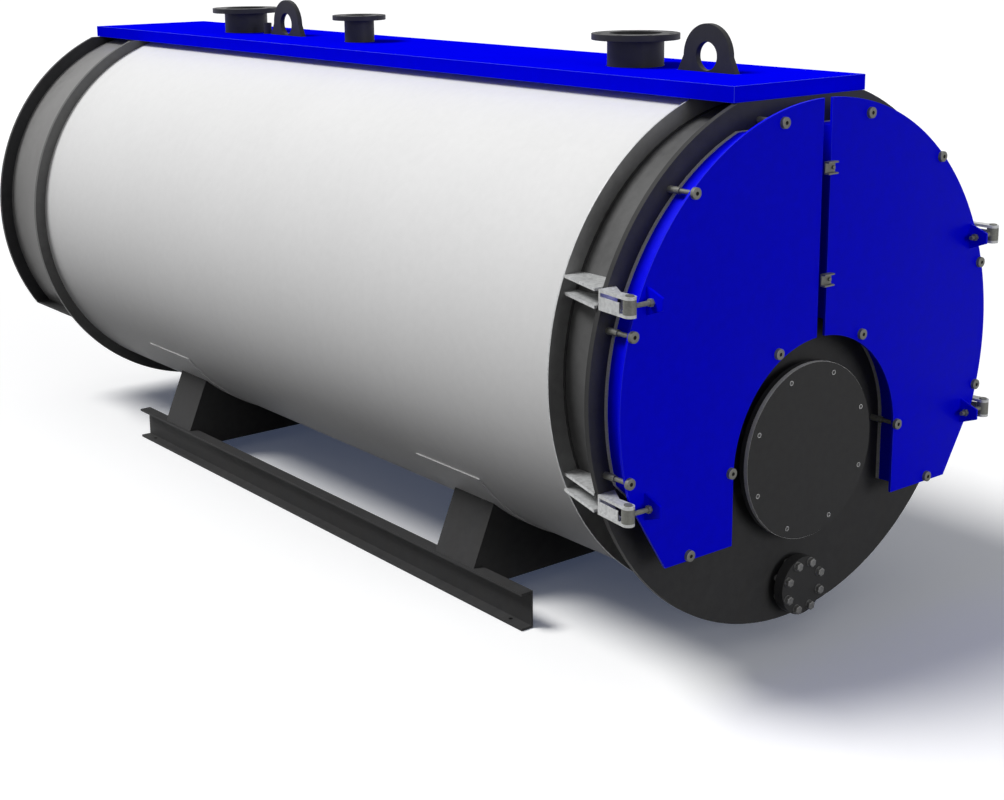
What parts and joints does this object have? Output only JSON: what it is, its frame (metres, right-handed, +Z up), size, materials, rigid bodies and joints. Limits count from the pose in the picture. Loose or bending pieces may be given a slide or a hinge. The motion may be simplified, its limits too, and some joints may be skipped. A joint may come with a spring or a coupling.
{
  "type": "industrial boiler",
  "caption": "Horizontal fire-tube boiler: clad drum on skid rails, hinged front doors around a blanked burner opening, top deck with flanged nozzles and lifting lugs, rear smoke box.",
  "frame": {"origin": "on the floor, under the middle of the boiler's outer box", "axes": "+Y to the rear along the drum, +Z up, +X to the right seen from the front doors"},
  "size_m": [1.968, 5.19, 2.223],
  "materials": {
    "cladding": "satin pale sheet",
    "insulation": "mineral wool, hidden",
    "blue_paint": "satin blue paint",
    "dark_paint": "satin dark grey paint",
    "black_paint": "satin black paint",
    "grey_primer": "matt grey heat-proof paint",
    "galvanised": "zinc-coated steel",
    "plain_steel": "dull plated steel",
    "seal_bar": "bare steel bar with a rope seal",
    "lining": "pale heat-proof board"
  },
  "bodies": {
    "boiler": {"burner_neck": "dark_paint", "burner_plate": "dark_paint", "cladding_sheet": "cladding", "drain_blind_flange": "dark_paint", "drain_neck": "dark_paint", "flue_collar": "black_paint", "front_lifting_lug": "black_paint", "front_nozzle": "black_paint", "front_plate": "dark_paint", "front_ring": "dark_paint", "front_saddle": "dark_paint", "front_saddle_pad": "cladding", "hinge_brackets": "galvanised", "hinge_gussets": "galvanised", "hinge_pins": "plain_steel", "insulation": "insulation", "left_door_seal": "seal_bar", "left_skid": "dark_paint", "pressure_shell": "grey_primer", "rear_cover": "black_paint", "rear_flange": "black_paint", "rear_lifting_lug": "black_paint", "rear_nozzle": "black_paint", "rear_saddle": "dark_paint", "rear_saddle_pad": "cladding", "rear_tube_plate": "dark_paint", "right_door_seal": "seal_bar", "right_skid": "dark_paint", "safety_nozzle": "black_paint", "sensor_pocket": "black_paint", "smoke_box": "grey_primer", "smoke_box_floor": "dark_paint", "stud_sleeves": "plain_steel", "top_deck": "blue_paint"},
    "left_door": {"left_door_panel": "blue_paint", "left_door_rim": "blue_paint", "left_door_lining": "lining", "left_door_bolts": "plain_steel", "left_door_lugs": "blue_paint", "left_eye_bolts": "plain_steel"},
    "right_door": {"right_door_panel": "blue_paint", "right_door_rim": "blue_paint", "right_door_lining": "lining", "right_door_bolts": "plain_steel", "right_door_lugs": "blue_paint", "right_eye_bolts": "plain_steel", "door_clips": "galvanised"}
  },
  "joints": [
    {"name": "left_door_hinge", "type": "hinge", "parent": "boiler", "child": "left_door", "pos_m": [-0.937, -2.548, 1.056], "axis": [0, 0, -1], "range_deg": [0, 110]},
    {"name": "right_door_hinge", "type": "hinge", "parent": "boiler", "child": "right_door", "pos_m": [0.937, -2.548, 1.056], "axis": [0, 0, 1], "range_deg": [0, 110]}
  ]
}
